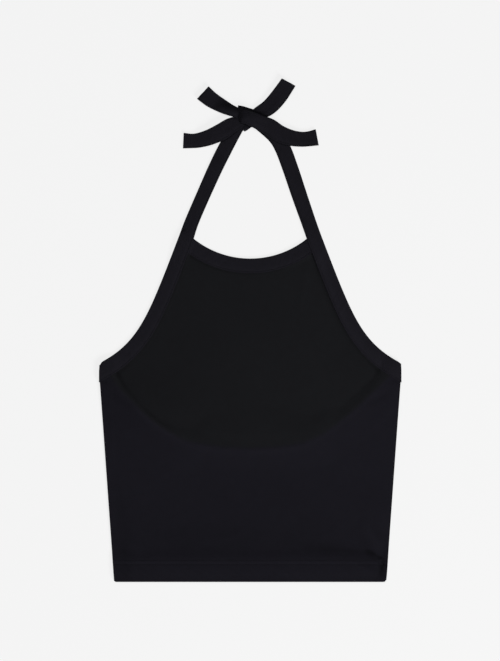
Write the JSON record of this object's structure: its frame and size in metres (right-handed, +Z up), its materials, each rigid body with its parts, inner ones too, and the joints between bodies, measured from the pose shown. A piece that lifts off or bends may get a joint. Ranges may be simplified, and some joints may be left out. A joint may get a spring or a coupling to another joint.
{
  "type": "halter neck top",
  "caption": "Cropped halter neck top in black jersey, laid flat, with bound edges and neck ties knotted in a bow.",
  "frame": {"origin": "centre of the base of the bounding box, on the surface that the top lies on", "axes": "+X across the body to the right seen from above, +Y from the hem towards the bow, +Z up from the surface, out of the front panel"},
  "size_m": [0.3624, 0.6029, 0.0094],
  "materials": {
    "panel_jersey": "matte black cotton jersey",
    "binding_jersey": "matte black cotton jersey, folded and stitched",
    "tie_jersey": "matte black cotton jersey, folded and stitched"
  },
  "bodies": {
    "root": {"front_panel": "panel_jersey", "back_panel": "panel_jersey", "neck_binding": "binding_jersey", "back_edge_binding": "binding_jersey", "left_armhole_tie": "binding_jersey", "right_armhole_tie": "binding_jersey", "left_tie_end": "tie_jersey", "right_tie_end": "tie_jersey", "left_bow_loop": "tie_jersey", "right_bow_loop": "tie_jersey", "bow_knot": "tie_jersey"}
  },
  "joints": []
}
